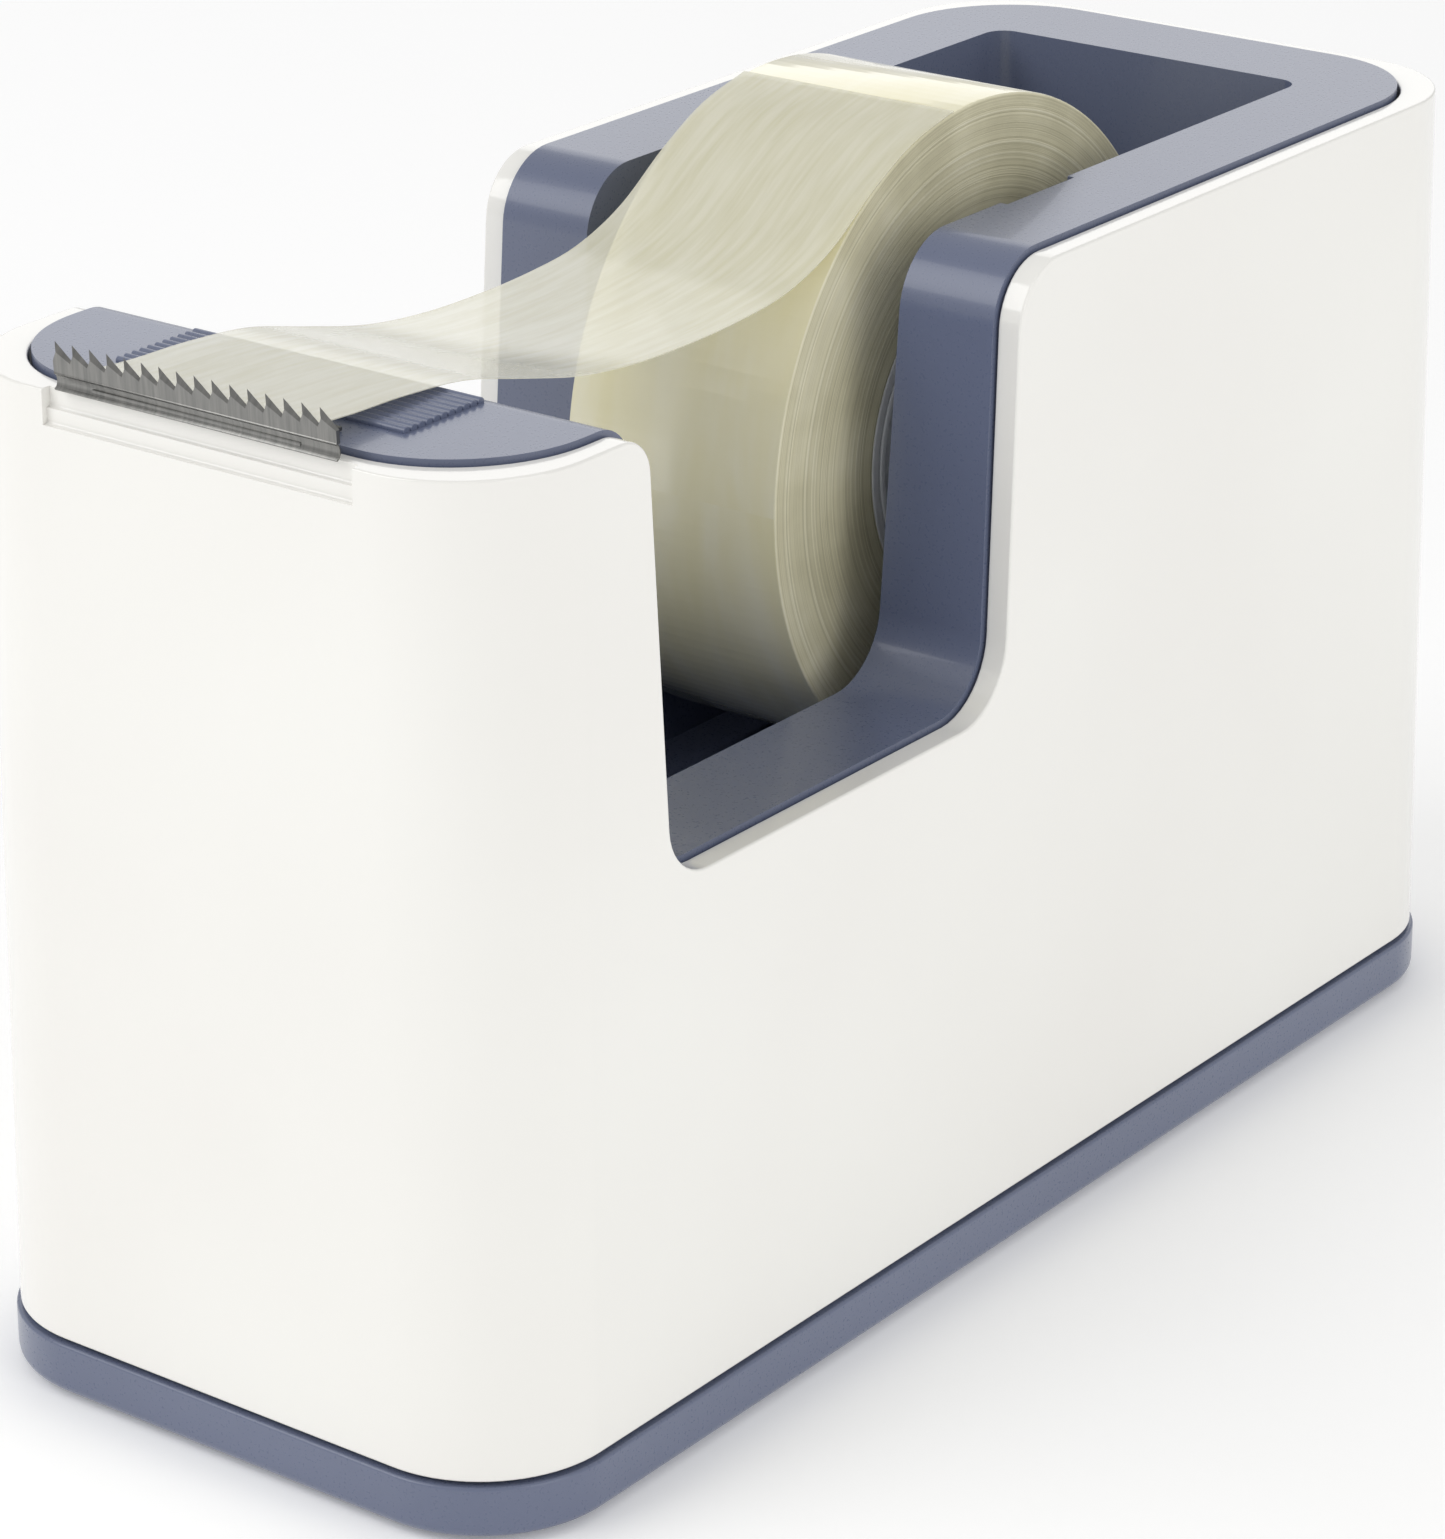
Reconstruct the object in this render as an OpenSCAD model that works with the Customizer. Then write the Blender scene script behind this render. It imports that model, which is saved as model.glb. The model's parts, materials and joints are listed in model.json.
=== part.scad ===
// Weighted desk tape dispenser: a drafted sleeve over a well liner that carries
// the reel, a weighted base, and a serrated cutter on the front tower.
// X is across, -Y is the cutter end, Z is up; the origin is on the desk below the middle.

/* [Body] */
// Width across the base
body_w = 51; // [48:0.5:56]
// Length from the cutter end to the back
body_d = 126.5; // [120:0.5:135]
// Height of the rear block above the desk
body_h = 76.3; // [74:0.1:80]
// Outer radius of the upright corners
corner_r = 10; // [8:0.5:12]
// Wall of the outer shell
wall = 1.9; // [1.5:0.1:2.2]
// Inward lean of the shell's walls, in degrees
draft = 0.8; // [0.4:0.1:1]

/* [Notch] */
// Front wall of the side notch, half way up
notch_front = -43.7; // [-46:0.1:-42]
// Rear wall of the side notch, half way up
notch_rear = -4.6; // [-8:0.1:-2]
// Height of the notch floor
notch_floor = 43.9; // [40:0.1:48]
// Lean of the notch's front and rear walls, in degrees
notch_lean = [2.9, 3.4]; // [0:0.1:5]
// Drop of the front tower below the rear block
tower_drop = 0.4; // [0:0.1:1]

/* [Reel] */
// Outer radius of the wound tape
roll_r = 25.4; // [20:0.1:26]
// Width of the tape
tape_w = 19; // [12:1:19]
// Place of the reel's axis along the body
axle_y = 13.5; // [11:0.5:15]
// Height of the reel's axis
axle_z = 56.9; // [56:0.1:58]
// Radius of the hub's stub axles
stub_r = 4.3; // [3.5:0.1:4.5]

/* [Pocket] */
// Width of the tape pocket at its rim
pocket_w = 28.6; // [28:0.1:29]
// Rear end of the pocket at its rim
pocket_rear = 50.9; // [49:0.1:52]
// Height of the pocket's floor
pocket_floor = 29; // [28.6:0.1:30]
// Thickness of the liner's skin
skin = 2.2; // [1.8:0.1:2.4]

/* [Cutter] */
// Width of the cutter strip
blade_w = 24.4; // [20:0.2:26]
// Number of teeth
teeth = 16; // [12:1:18]

/* [Base] */
// Height of the base tray's band
base_h = 4; // [3:0.5:5]
// Height of the rubber feet below the tray
foot_h = 0.5; // [0.3:0.1:1]
// Thickness of one ballast plate
plate_t = 4.2; // [3:0.1:4.4]

/* [Hidden] */
FOOT_NAMES = ["foot_front_left", "foot_front_right", "foot_rear_left", "foot_rear_right"];
PLATE_NAMES = ["ballast_plate_1", "ballast_plate_2", "ballast_plate_3", "ballast_plate_4", "ballast_plate_5"];
$fn = 64;
HULL_FN = 32;
EPS = 0.01;

white = "#f2f0ea";
slate = "#6d7488";
steel = "#a9abae";
tape_tint = "#dcd8b4";

step_in = 0.3;                       // shell set in from the base band
fit_gap = 0.17;                      // liner inside the shell
seam = 0.3;                          // dark line between base and shell
proud = 0.4;                         // liner above the shell's rim
base_top = foot_h + base_h;
shell_z = base_top + seam;
shell_w = body_w - 2 * step_in;
shell_d = body_d - 2 * step_in;
tower_h = body_h - tower_drop;
mid_z = 50.5;                        // height at which the notch walls are measured
screw_x = 17;
screw_y = 51;
plate_w = 42;
plate_d = 90;
plate_y = -1;
ballast_screw_y = 36;
screw_r = 1.4;
hole_slack = 0.08;
core_r = 13.4;                       // outside of the paper-thin core
core_in = 12.4;
hub_gap = 0.1;
rib_n = 11;
rib_pitch = 0.75;
rib_y = -55.5;                       // first grip rib
rib_half = 12.5;
recess_half = 13.4;
tape_t = 0.3;

function unit(v) = v / norm(v);

// Arc of radius r that rounds corner b of the path a-b-c
function fillet(a, b, c, r, n = 8) =
    r <= 0 ? [b] :
    let (u = unit(a - b), v = unit(c - b), half = acos(u * v) / 2,
         centre = b + unit(u + v) * r / sin(half),
         p0 = b + u * r / tan(half), p1 = b + v * r / tan(half),
         a0 = atan2(p0.y - centre.y, p0.x - centre.x),
         a1 = atan2(p1.y - centre.y, p1.x - centre.x),
         turn = (a1 - a0 + 900) % 360 - 180)
    [for (i = [0 : n]) centre + r * [cos(a0 + turn * i / n), sin(a0 + turn * i / n)]];

// Closed outline with each corner given as [point, radius]
function rounded(c) =
    let (n = len(c))
    [for (i = [0 : n - 1]) each fillet(c[(i + n - 1) % n][0], c[i][0], c[(i + 1) % n][0], c[i][1])];

// Side view of the body with its notch, taken in by g all along the top
function front_y(z, g) = notch_front - (z - mid_z) * tan(notch_lean[0]) - g;
function rear_y(z, g) = notch_rear + (z - mid_z) * tan(notch_lean[1]) + g;
function side_outline(g) =
    let (r = body_h - g, f = tower_h - g, n = notch_floor - g, far = body_d)
    rounded([[[-far, -far], 0], [[far, -far], 0], [[far, r], 0],
        [[rear_y(r, g), r], 5 - g], [[rear_y(n, g), n], 5 + g],
        [[front_y(n, g), n], 3.5 + g], [[front_y(f, g), f], 3 - g], [[-far, f], 0]]);

// Side view of the tape pocket, grown by g
function pocket_outline(g) =
    rounded([[[-41 - g, body_h * 2], 0], [[-39.5 - g, notch_floor - 6], 4 + g],
        [[-17, pocket_floor - g], 14 + g],
        [[pocket_rear - 1.5 + g, pocket_floor - g], 12 + g], [[pocket_rear + 1 + g, body_h * 2], 0]]);

function catmull(a, b, c, d, t) =
    0.5 * (2 * b + (c - a) * t + (2 * a - 5 * b + 4 * c - d) * t * t + (3 * b - a - 3 * c + d) * t * t * t);
// The loose end: from the roll's surface, sagging, and up over the front tower
tape_route = [[-5.5, 74.7], [-9, 73.7], [-14, 73.1], [-23, 72.7], [-34, 73.5], [-44, 75.9], [-50, 77], [-60.4, 77.4]];
function route_point(i) = tape_route[max(0, min(len(tape_route) - 1, i))];
tape_line = [for (i = [0 : len(tape_route) - 2]) for (k = [0 : 3])
    catmull(route_point(i - 1), route_point(i), route_point(i + 1), route_point(i + 2), k / 4)];

// Extrudes a side view (y, z) across the body
module across(w) {
    rotate([90, 0, 90]) linear_extrude(height = w, center = true) children();
}

// Upright block with rounded corners whose walls lean in by the draft
module drafted_block(inset, r, z0, z1) {
    lean = (z1 - z0) * tan(draft);
    hull() for (sx = [-1, 1], sy = [-1, 1])
        translate([sx * (shell_w / 2 - inset - r), sy * (shell_d / 2 - inset - r), z0])
            cylinder(h = z1 - z0, r1 = r, r2 = r - lean, $fn = HULL_FN);
}

module shell_outside() drafted_block(0, corner_r, shell_z, body_h + 5);
module shell_inside(extra) drafted_block(wall + extra, corner_r + 0.5, shell_z - EPS, body_h + 6);

module outer_shell() color(white) difference() {
    intersection() {
        shell_outside();
        across(body_w * 2) polygon(side_outline(proud));
    }
    shell_inside(0);
    blade_recess();
}

// Two shallow steps in the front wall where the cutter sits
module blade_recess() {
    front = -shell_d / 2 + (body_h - shell_z) * tan(draft);
    for (s = [[0.45, 3.3], [0.8, 2.1]])
        translate([-recess_half, front - 5, tower_h - s[1]]) cube([2 * recess_half, 5 + s[0], 10]);
}

module pocket_wedge(half, grow) {
    lean = 1.3;
    rotate([90, 0, 0]) linear_extrude(height = body_d, center = true)
        polygon([[-half - grow + body_h * tan(lean), 0], [half + grow - body_h * tan(lean), 0],
            [half + grow, body_h], [half + grow, body_h * 2], [-half - grow, body_h * 2], [-half - grow, body_h]]);
}

module pocket(grow) intersection() {
    across(body_w) polygon(pocket_outline(grow));
    pocket_wedge(pocket_w / 2, grow);
}

module liner_envelope() intersection() {
    shell_inside(fit_gap);
    across(body_w * 2) polygon(side_outline(0));
}

// Grooves that the hub's stub axles drop into
module axle_slots() for (s = [-1, 1]) {
    half = stub_r + 0.08;
    depth = pocket_w / 2 + 0.6;
    translate([s > 0 ? 0 : -depth, axle_y, axle_z]) rotate([0, 90, 0]) cylinder(h = depth, r = half);
    translate([s > 0 ? 0 : -depth, axle_y - half, axle_z]) cube([depth, 2 * half, body_h]);
}

module bosses() for (sx = [-1, 1], sy = [-1, 1])
    translate([sx * screw_x, sy * screw_y, base_top]) cylinder(h = (sy < 0 ? tower_h : body_h) - base_top - 1, r = 3);

module screw_holes(r, z0, z1) for (sx = [-1, 1], sy = [-1, 1])
    translate([sx * screw_x, sy * screw_y, z0]) cylinder(h = z1 - z0, r = r);

module grip_ribs() for (i = [0 : rib_n - 1])
    translate([0, rib_y + i * rib_pitch, tower_h - 0.02]) rotate([0, 90, 0])
        cylinder(h = 2 * rib_half, r = 0.33, center = true, $fn = 16);

module tape_well() color(slate) difference() {
    union() {
        difference() {
            liner_envelope();
            across(body_w * 2) polygon(side_outline(skin));
        }
        intersection() {
            liner_envelope();
            pocket(2);
        }
        bosses();
        grip_ribs();
    }
    pocket(0);
    axle_slots();
    screw_holes(screw_r + hole_slack, base_top - 1, base_top + 16);
}

module base_outline(inset, z0, z1, r) {
    hull() for (sx = [-1, 1], sy = [-1, 1])
        translate([sx * (body_w / 2 - inset - r), sy * (body_d / 2 - inset - r), z0])
            cylinder(h = z1 - z0, r = r, $fn = HULL_FN);
}

module base_tray() color(slate) {
    floor_t = 2.2;
    lip_in = step_in + wall + 0.35;
    difference() {
        union() {
            hull() {
                base_outline(0, foot_h + 0.9, base_top, corner_r + 0.3);
                base_outline(0.9, foot_h, base_top - 1, corner_r - 0.6);
            }
            base_outline(lip_in, base_top - EPS, base_top + 3, corner_r);
        }
        difference() {
            base_outline(lip_in + 1.5, foot_h + floor_t, base_top + 4, corner_r - 1.5);
            screw_holes(4, 0, base_top - EPS);
        }
        screw_holes(screw_r + hole_slack, -1, base_top + 10);
        screw_holes(2.9, -1, foot_h + 2.6);
        screw_holes(6.1, -1, foot_h + 1);
        ballast_holes(screw_r + hole_slack, -1, base_top + 1);
        ballast_holes(2.9, -1, foot_h + 1.4);
    }
}

module ballast_holes(r, z0, z1) for (s = [-1, 1])
    translate([0, plate_y + s * ballast_screw_y, z0]) cylinder(h = z1 - z0, r = r);

module ballast_plate(i) color("dimgray") {
    z = foot_h + 2.4 + i * (plate_t + 0.05);
    difference() {
        translate([-plate_w / 2, plate_y - plate_d / 2, z]) cube([plate_w, plate_d, plate_t]);
        ballast_holes(screw_r + hole_slack, z - 1, z + plate_t + 1);
    }
}

module screw(head_z, length) {
    translate([0, 0, head_z]) cylinder(h = 1.3, r = 2.7);
    translate([0, 0, head_z + 1.2]) cylinder(h = length, r = screw_r);
}

module base_screws() color(steel)
    for (sx = [-1, 1], sy = [-1, 1])
        translate([sx * screw_x, sy * screw_y, 0]) screw(foot_h + 1.3, 14);

module ballast_screws() color(steel)
    for (s = [-1, 1])
        translate([0, plate_y + s * ballast_screw_y, 0]) screw(foot_h + 0.1, 5 * plate_t + 1.5);

module foot(i) color("#3a3b3f")
    translate([(i % 2 == 0 ? -1 : 1) * screw_x, (i < 2 ? -1 : 1) * screw_y, 0]) cylinder(h = foot_h + 0.95, r = 6);

// Folded steel strip: lip on the front of the tower, tongue below the tape, row of saw teeth
module cutter_blade() color(steel) {
    t = 0.4;
    front = -61.9;
    tongue_back = -57.6;
    lip_low = tower_h - 0.2;
    lip_high = tower_h + 1;
    root_h = 1;
    tooth_h = 1.2;
    lean = 3;
    row_w = blade_w - 0.1;
    pitch = row_w / teeth;
    across(blade_w) polygon([[front, lip_low], [front + t, lip_low], [front + t, lip_high], [front, lip_high]]);
    across(tape_w - 1) polygon([[front + t / 2, tower_h], [tongue_back, tower_h],
        [tongue_back, tower_h + t], [front + t / 2, tower_h + t]]);
    translate([0, front + t - 0.05, lip_high - 0.2]) rotate([90 + lean, 0, 0]) linear_extrude(height = t - 0.1)
        polygon(concat([[row_w / 2, 0], [-row_w / 2, 0]],
            [for (i = [0 : teeth - 1]) each [[-row_w / 2 + i * pitch, root_h + tooth_h],
                [-row_w / 2 + (i + 0.8) * pitch, root_h]]],
            [[row_w / 2, root_h]]));
}

// One half of the hub: drum, web, shoulder and stub axle; side is -1 or 1
module hub_half(side) color("white")
    translate([0, axle_y, axle_z]) rotate([0, 90 * side, 0]) difference() {
        union() {
            translate([0, 0, 0.05]) cylinder(h = tape_w / 2, r = core_in - hub_gap);
            cylinder(h = 13, r = 7);
            cylinder(h = pocket_w / 2 + 0.3, r = stub_r);
        }
        translate([0, 0, -1]) cylinder(h = tape_w / 2 - 0.6, r = core_in - 1.4);
        translate([0, 0, tape_w / 2 - 0.1]) difference() {
            cylinder(h = 2, r = core_in - 1.4);
            translate([0, 0, -1]) cylinder(h = 4, r = 7);
        }
        translate([0, 0, -1]) cylinder(h = 40, r = 1.6);
        cube([60, 60, 0.1], center = true);
    }

module hub_left() hub_half(-1);
module hub_right() hub_half(1);

module ring(r_out, r_in, w) translate([0, axle_y, axle_z]) rotate([0, 90, 0]) difference() {
    cylinder(h = w, r = r_out, center = true, $fn = 128);
    cylinder(h = w + 2, r = r_in, center = true, $fn = 128);
}

module tape_core() color("ghostwhite") ring(core_r - 0.02, core_in, tape_w);
module tape_windings() color(tape_tint) ring(roll_r, core_r, tape_w);

module tape_end() color(tape_tint) across(tape_w)
    polygon(concat([for (p = tape_line) p + [0, tape_t / 2]],
        [for (i = [len(tape_line) - 1 : -1 : 0]) tape_line[i] - [0, tape_t / 2]]));

outer_shell();
tape_well();
base_tray();
cutter_blade();
base_screws();
ballast_screws();
for (i = [0 : len(PLATE_NAMES) - 1]) ballast_plate(i);
for (i = [0 : len(FOOT_NAMES) - 1]) foot(i);
hub_left();
hub_right();
tape_core();
tape_windings();
tape_end();
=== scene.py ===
import json
import math
import random
import bmesh
import bpy
from mathutils import Matrix, Vector


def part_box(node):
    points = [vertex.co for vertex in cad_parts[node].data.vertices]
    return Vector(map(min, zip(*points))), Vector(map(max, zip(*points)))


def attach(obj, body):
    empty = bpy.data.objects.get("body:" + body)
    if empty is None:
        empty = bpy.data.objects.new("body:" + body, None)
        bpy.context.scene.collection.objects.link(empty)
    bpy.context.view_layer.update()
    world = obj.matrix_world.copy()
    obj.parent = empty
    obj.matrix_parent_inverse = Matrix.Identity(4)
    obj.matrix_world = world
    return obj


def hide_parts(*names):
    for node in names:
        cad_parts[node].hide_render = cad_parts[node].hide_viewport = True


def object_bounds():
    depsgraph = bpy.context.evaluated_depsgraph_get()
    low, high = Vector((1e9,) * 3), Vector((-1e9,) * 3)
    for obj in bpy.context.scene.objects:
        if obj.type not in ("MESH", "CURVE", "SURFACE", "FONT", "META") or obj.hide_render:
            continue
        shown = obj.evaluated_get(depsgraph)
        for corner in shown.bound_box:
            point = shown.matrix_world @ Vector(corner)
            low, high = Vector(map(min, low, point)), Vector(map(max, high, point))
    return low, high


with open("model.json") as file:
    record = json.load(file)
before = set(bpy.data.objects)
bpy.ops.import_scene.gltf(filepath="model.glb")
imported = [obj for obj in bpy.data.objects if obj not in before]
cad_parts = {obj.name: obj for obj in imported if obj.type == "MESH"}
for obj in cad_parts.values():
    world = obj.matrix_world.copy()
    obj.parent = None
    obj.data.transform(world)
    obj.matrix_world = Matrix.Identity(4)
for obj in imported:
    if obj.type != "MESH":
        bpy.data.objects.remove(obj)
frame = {"nodes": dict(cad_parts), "record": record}
cad_lo, cad_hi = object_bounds()

# ---------------------------------------------------------------------------
# Outer shell. A one-piece white ABS sleeve, injection moulded with a polished
# tool, so its walls lean in towards the top and its rims have small round edges.
# A notch is open in both sides, and two shallow steps in front seat the cutter.
MM = 0.001
SHELL_W, SHELL_D = 50.4 * MM, 125.9 * MM      # at the bottom edge
SHELL_FOOT = 4.8 * MM                         # bottom edge, above the base's band
BODY_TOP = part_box("tape_well")[1].z
TOWER_DROP = 0.4 * MM
PROUD = 0.4 * MM                              # liner stands above the shell's rim
WALL = 1.9 * MM
CORNER = 10 * MM
WIDE, HIGH = 40 * MM, 90 * MM                 # past the body's sides and top, for cutting tools
NOTCH_FOOT_R, NOTCH_HEEL_R = 3.5 * MM, 5 * MM  # the notch's lower corners, front and rear
TOWER_EDGE_R, REAR_EDGE_R = 3 * MM, 5 * MM    # the notch's upper corners
DRAFT = math.tan(math.radians(0.8))
NOTCH_FLOOR = 43.9 * MM
NOTCH_MID = 50.5 * MM
NOTCH_FRONT, NOTCH_REAR = -43.7 * MM, -4.6 * MM
LEAN_FRONT, LEAN_REAR = math.tan(math.radians(2.9)), math.tan(math.radians(3.4))


def deselect():
    """Leaves object mode with nothing selected."""
    if bpy.context.object and bpy.context.object.mode != "OBJECT":
        bpy.ops.object.mode_set(mode="OBJECT")
    bpy.ops.object.select_all(action="DESELECT")


def take(piece):
    """Makes a piece the only one selected, and active."""
    deselect()
    piece.select_set(True)
    bpy.context.view_layer.objects.active = piece
    return piece


def settle(piece):
    """Puts a piece's place, turn and size into its mesh."""
    take(piece)
    bpy.ops.object.transform_apply(location=True, rotation=True, scale=True)
    return piece


def block(name, lo, hi):
    """A cube brought to two opposite corners."""
    deselect()
    lo, hi = Vector(lo), Vector(hi)
    bpy.ops.mesh.primitive_cube_add(size=1, location=(lo + hi) / 2, scale=hi - lo)
    piece = bpy.context.object
    piece.name = name
    return settle(piece)


def pick(piece, kind, test):
    """Opens a piece in edit mode with the wanted vertices, edges or faces selected."""
    take(piece)
    bpy.ops.object.mode_set(mode="EDIT")
    bpy.ops.mesh.select_mode(type=kind)
    bpy.ops.mesh.select_all(action="DESELECT")
    mesh = bmesh.from_edit_mesh(piece.data)
    for part in {"VERT": mesh.verts, "EDGE": mesh.edges, "FACE": mesh.faces}[kind]:
        part.select = test(part)
    mesh.select_flush_mode()
    bmesh.update_edit_mesh(piece.data)


def done(piece):
    """Closes edit mode."""
    bpy.ops.object.mode_set(mode="OBJECT")
    return piece


def ends(edge):
    """Where an edge's two ends are."""
    return edge.verts[0].co, edge.verts[1].co


def along(edge, axis):
    """Whether an edge runs along an axis: 0 across, 1 front to back, 2 upright."""
    a, b = ends(edge)
    way = b - a
    return abs(way[axis]) > 0.9 * way.length


def round_edges(piece, test, radius, segments):
    """Rounds the chosen edges in edit mode."""
    pick(piece, "EDGE", test)
    bpy.ops.mesh.bevel(offset=radius, segments=segments, affect="EDGES", clamp_overlap=True)
    return done(piece)


def apply_modifier(piece, kind, **settings):
    """Adds a modifier with its settings and applies it."""
    take(piece)
    mod = piece.modifiers.new(kind.lower(), kind)
    for key, value in settings.items():
        setattr(mod, key, value)
    bpy.ops.object.modifier_apply(modifier=mod.name)
    return piece


def cut(piece, tool, operation="DIFFERENCE"):
    """Takes a tool's shape out of a piece, or joins it, and deletes the tool."""
    apply_modifier(piece, "BOOLEAN", object=tool, operation=operation, solver="EXACT")
    bpy.data.objects.remove(tool, do_unlink=True)
    return piece


def smooth(piece, angle=38):
    """Smooth shading across every edge that turns by less than the angle, in degrees."""
    take(piece)
    bpy.ops.object.shade_smooth_by_angle(angle=math.radians(angle))
    return piece


def soften(piece, width, segments=3, angle=42):
    """Gives every sharp edge a small round, as a mould does, and smooth shading."""
    apply_modifier(piece, "BEVEL", width=width, segments=segments, limit_method="ANGLE",
                   angle_limit=math.radians(angle), use_clamp_overlap=True, miter_outer="MITER_ARC")
    return smooth(piece)


def weigh(piece):
    """Flat faces stay flat to the eye beside their rounded edges."""
    return apply_modifier(piece, "WEIGHTED_NORMAL", keep_sharp=True, weight=60)


def drafted_block(name, inset, corner, low, high):
    """An upright block with round corners whose walls lean in towards the top."""
    half_w, half_d = SHELL_W / 2 - inset, SHELL_D / 2 - inset
    piece = block(name, (-half_w, -half_d, low), (half_w, half_d, high))
    round_edges(piece, lambda e: along(e, 2), corner, 20)
    lean_low, lean_high = (low - SHELL_FOOT) * DRAFT, (high - SHELL_FOOT) * DRAFT
    for level, lean in ((low, lean_low), (high, lean_high)):
        pick(piece, "VERT", lambda v: abs(v.co.z - level) < 1e-5)
        bpy.ops.transform.resize(value=(1 - lean / half_w, 1 - lean / half_d, 1),
                                 center_override=(0, 0, level))
        done(piece)
    return piece


def front_y(z, g):
    """The notch's front wall at a height, taken in by g."""
    return NOTCH_FRONT - (z - NOTCH_MID) * LEAN_FRONT - g


def rear_y(z, g):
    """The notch's rear wall at a height, taken in by g."""
    return NOTCH_REAR + (z - NOTCH_MID) * LEAN_REAR + g


def notched_body(name, inset, corner, g, low):
    """The drafted block with its side notch, taken in by g along the whole top."""
    top, tower, floor = BODY_TOP - g, BODY_TOP - TOWER_DROP - g, NOTCH_FLOOR - g
    piece = drafted_block(name, inset, corner, low, top)
    void = block("notch_void", (-WIDE, front_y(floor, g), floor), (WIDE, rear_y(floor, g), HIGH))
    middle = (front_y(floor, g) + rear_y(floor, g)) / 2
    for side, place, radius in ((-1, front_y, NOTCH_FOOT_R), (1, rear_y, NOTCH_HEEL_R)):
        pick(void, "VERT", lambda v: v.co.z > HIGH - MM and (v.co.y - middle) * side > 0)
        bpy.ops.transform.translate(value=(0, place(HIGH, g) - place(floor, g), 0))
        done(void)
        round_edges(void, lambda e: along(e, 0) and e.verts[0].co.z < floor + 1e-5
                    and (e.verts[0].co.y - middle) * side > 5 * MM, radius + g, 10)
    cut(piece, void)
    tower_rear = front_y(tower, g) + 5 * MM
    cut(piece, block("tower_drop", (-WIDE, -2 * WIDE, tower), (WIDE, tower_rear, HIGH)))
    round_edges(piece, lambda e: along(e, 0) and abs(e.verts[0].co.y - rear_y(top, g)) < 0.3 * MM
                and e.verts[0].co.z > top - 0.1 * MM, REAR_EDGE_R - g, 12)
    round_edges(piece, lambda e: along(e, 0) and abs(e.verts[0].co.y - front_y(tower, g)) < 0.3 * MM
                and e.verts[0].co.z > tower - 0.1 * MM, TOWER_EDGE_R - g, 10)
    return piece


shell = notched_body("shell_sleeve", 0, CORNER, PROUD, SHELL_FOOT)
cut(shell, drafted_block("shell_hollow", WALL, CORNER + 0.5 * MM, SHELL_FOOT - MM, BODY_TOP + 4 * MM))
soften(shell, 0.42 * MM, 4)
RECESS_HALF = 13.4 * MM
tower_top = BODY_TOP - TOWER_DROP
front_face = -SHELL_D / 2 + (BODY_TOP - SHELL_FOOT) * DRAFT
for step_depth, step_drop in ((0.42 * MM, 2.9 * MM), (0.75 * MM, 1.8 * MM)):
    step = block("recess_step", (-RECESS_HALF, front_face - 5 * MM, tower_top - step_drop),
                 (RECESS_HALF, front_face + step_depth, tower_top + 5 * MM))
    round_edges(step, lambda e: along(e, 0) and e.verts[0].co.y > front_face
                and e.verts[0].co.z < tower_top, 0.3 * MM, 4)
    cut(shell, step)
weigh(smooth(shell))


def linear(hex_colour):
    """An sRGB hex colour as linear red, green, blue and alpha."""
    parts = [int(hex_colour[i:i + 2], 16) / 255 for i in (1, 3, 5)]
    return tuple(c / 12.92 if c <= 0.04045 else ((c + 0.055) / 1.055) ** 2.4 for c in parts) + (1.0,)


def add_node(material, kind, inputs=None, **settings):
    """Adds one node; an input is a value, or a (node, output) to link from."""
    node = material.node_tree.nodes.new(kind)
    for key, value in settings.items():
        setattr(node, key, value)
    for socket, value in (inputs or {}).items():
        if isinstance(value, tuple) and len(value) == 2 and hasattr(value[0], "outputs"):
            material.node_tree.links.new(value[0].outputs[value[1]], node.inputs[socket])
        else:
            node.inputs[socket].default_value = value
    return node


def new_material(name, **fixed):
    """A material whose shader has its all-over numbers set on its own sockets."""
    material = bpy.data.materials.new(name)
    material.use_nodes = True
    shader = material.node_tree.nodes["Principled BSDF"]
    for socket, value in fixed.items():
        shader.inputs[socket.replace("_", " ")].default_value = value
    return material, shader


def link(material, source, output, target, socket):
    """Joins one node's output to another's socket."""
    material.node_tree.links.new(source.outputs[output], target.inputs[socket])


def ramp_stops(node, stops):
    """Sets a colour ramp's stops from (place, hex) pairs."""
    band = node.color_ramp
    while len(band.elements) < len(stops):
        band.elements.new(0.5)
    for element, (place, hex_colour) in zip(band.elements, stops):
        element.position, element.color = place, linear(hex_colour)


def tint(material, shader, source, stops):
    """Colours a shader through a ramp, driven by a (node, output)."""
    tone = add_node(material, "ShaderNodeValToRGB", {"Fac": source})
    ramp_stops(tone, stops)
    link(material, tone, "Color", shader, "Base Color")


def dress(piece, *materials):
    """Gives a piece its materials, in place of any it had."""
    piece.data.materials.clear()
    for material in materials:
        piece.data.materials.append(material)


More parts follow.
